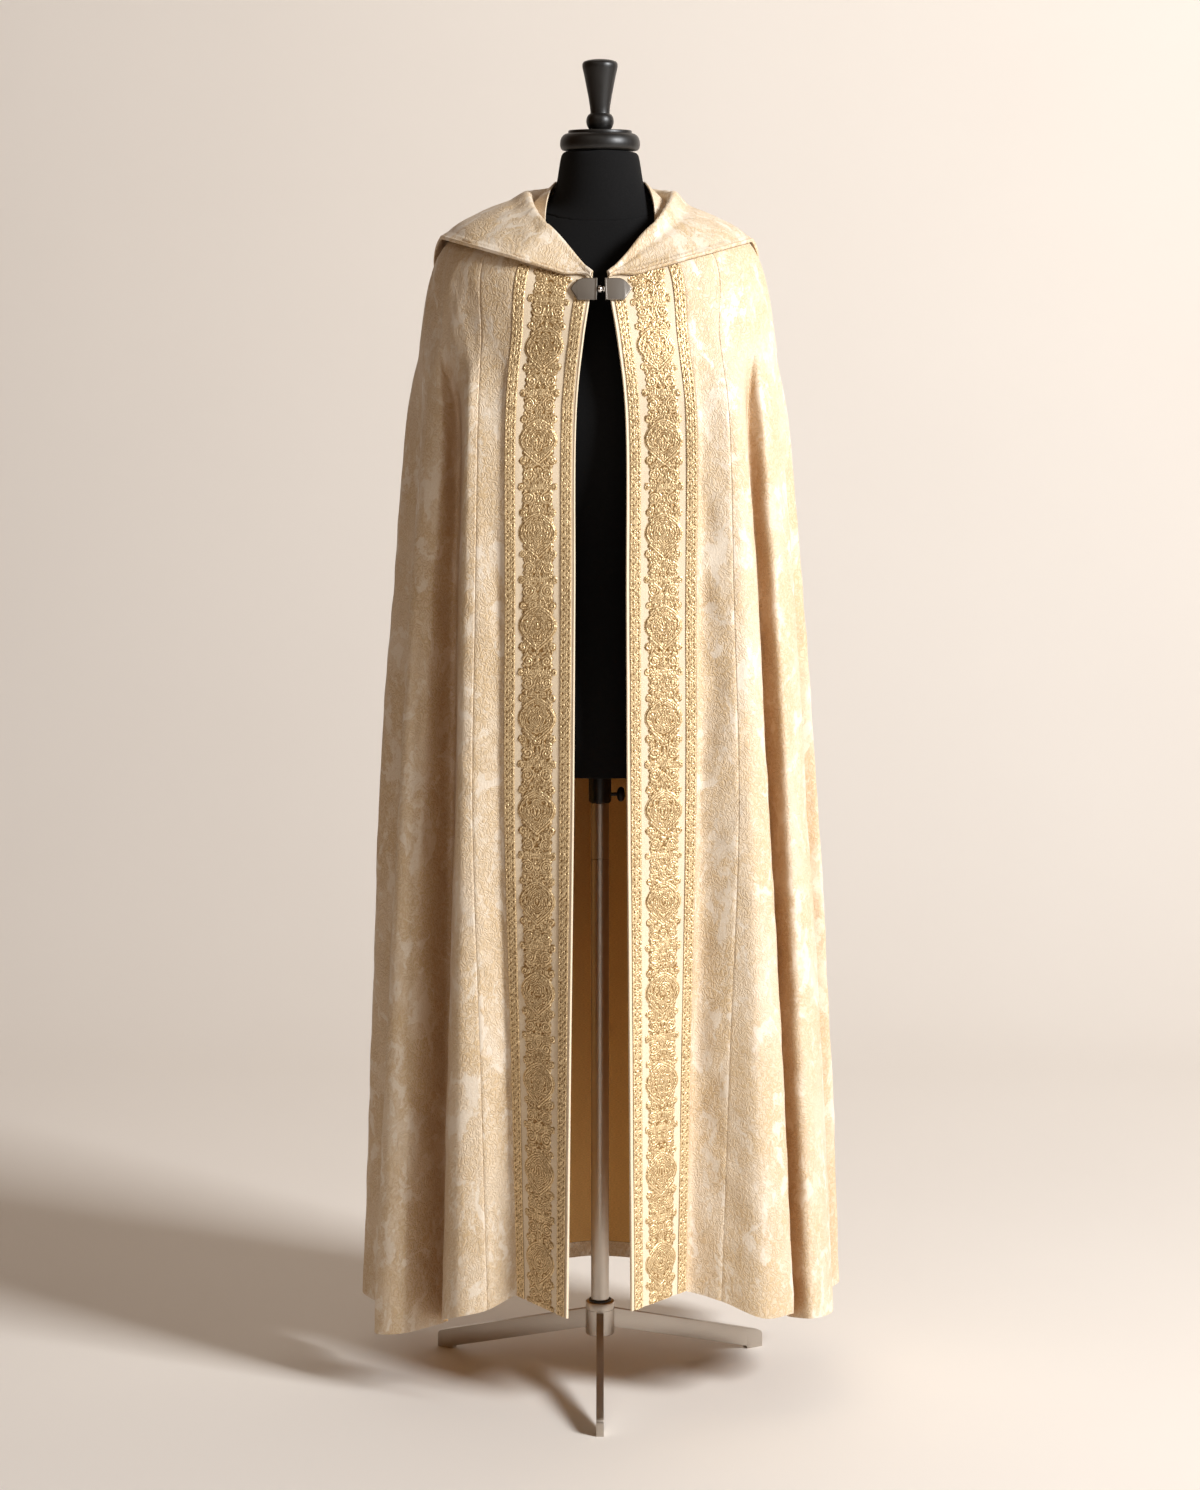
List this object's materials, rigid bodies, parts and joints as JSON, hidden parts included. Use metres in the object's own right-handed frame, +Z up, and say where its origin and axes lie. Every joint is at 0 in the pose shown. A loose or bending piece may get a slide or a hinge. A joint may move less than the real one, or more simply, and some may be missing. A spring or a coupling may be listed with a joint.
{
  "type": "cope vestment on a limbless dress form and stand",
  "caption": "Full-length cream brocade cope with a turned-down hood, banded front edges and a steel clasp, draped on a black limbless dress form on a pole and tripod stand.",
  "frame": {"origin": "bottom centre of the bounding box, on the floor; the pole's axis is 2.0 mm to -X and 4.8 mm to -Y of it", "axes": "+Z up along the pole, -Y out of the open front, +X to the right seen from the front"},
  "size_m": [0.68, 0.5424, 1.8097],
  "materials": {
    "brocade": "ivory and pale gold damask brocade with a low sheen",
    "band": "pale gold brocade band ground",
    "gold_braid": "matt old-gold woven braid and embroidery",
    "lining": "plain ochre lining, low sheen",
    "black_cloth": "black jersey over the form",
    "black_wood": "black satin lacquer",
    "steel": "brushed",
    "clasp_steel": "brushed, darkened",
    "bright_steel": "polished"
  },
  "bodies": {
    "stand": {"pole": "steel", "hub": "steel", "pole_ring": "black_wood", "leg_front": "steel", "leg_left": "steel", "leg_right": "steel"},
    "form": {"front_left": "brocade", "front_right": "brocade", "side_left": "brocade", "side_right": "brocade", "back_left": "brocade", "back_right": "brocade", "hood_left": "brocade", "hood_right": "brocade", "collar": "brocade", "hem_facing_back": "brocade", "lining_back": "lining", "orphrey_left": "band", "orphrey_right": "band", "braid_inner_left": "gold_braid", "braid_inner_right": "gold_braid", "braid_outer_left": "gold_braid", "braid_outer_right": "gold_braid", "embroidery_left": "gold_braid", "embroidery_right": "gold_braid", "form_torso": "black_cloth", "neck_cap": "black_wood", "finial": "black_wood", "bracket": "black_wood", "clasp_plate_left": "clasp_steel", "clasp_plate_right": "clasp_steel", "clasp_link": "bright_steel"},
    "thumbscrew": {"thumbscrew": "black_wood"}
  },
  "joints": [
    {"name": "height_slide", "type": "slide", "parent": "stand", "child": "form", "axis": [0, 0, 1], "range_m": [-0.04, 0.2]},
    {"name": "thumbscrew_turn", "type": "hinge", "parent": "form", "child": "thumbscrew", "pos_m": [-0.002, -0.0048, 0.8205], "axis": [1, 0, 0], "range_deg": [0, 270]}
  ]
}
